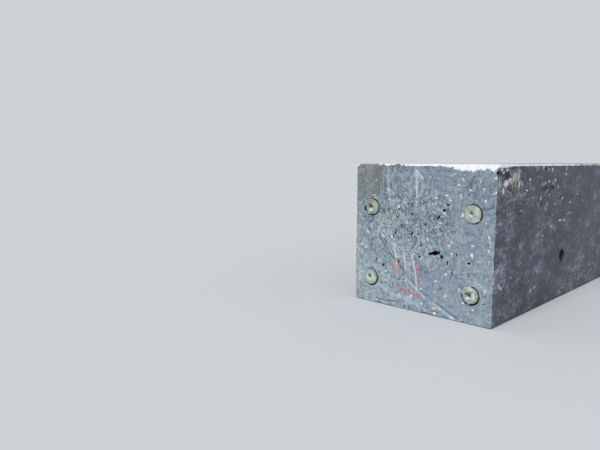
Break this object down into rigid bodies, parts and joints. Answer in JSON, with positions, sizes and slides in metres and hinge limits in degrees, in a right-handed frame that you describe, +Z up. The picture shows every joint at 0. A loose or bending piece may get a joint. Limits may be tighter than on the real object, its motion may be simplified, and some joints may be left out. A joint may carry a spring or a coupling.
{
  "type": "composite bridge sleeper",
  "caption": "Railway bridge sleeper of flecked grey recycled plastic, with steel reinforcing bars inside, pale plugs over the bar ends and drilled rail seats.",
  "frame": {"origin": "under the middle of the sleeper, on its underside", "axes": "+X along the sleeper away from the marked end, +Y across it to the left, +Z up to the rail side"},
  "size_m": [2.405, 0.24, 0.225],
  "materials": {
    "recycled_plastic": "rough",
    "bar_steel": "rolled",
    "plug_plastic": "satin"
  },
  "bodies": {
    "root": {"sleeper_body": "recycled_plastic", "bar_upper_left": "bar_steel", "bar_upper_right": "bar_steel", "bar_lower_left": "bar_steel", "bar_lower_right": "bar_steel", "marked_end_plug_upper_left": "plug_plastic", "marked_end_plug_upper_right": "plug_plastic", "marked_end_plug_lower_left": "plug_plastic", "marked_end_plug_lower_right": "plug_plastic", "plain_end_plug_upper_left": "plug_plastic", "plain_end_plug_upper_right": "plug_plastic", "plain_end_plug_lower_left": "plug_plastic", "plain_end_plug_lower_right": "plug_plastic"}
  },
  "joints": []
}
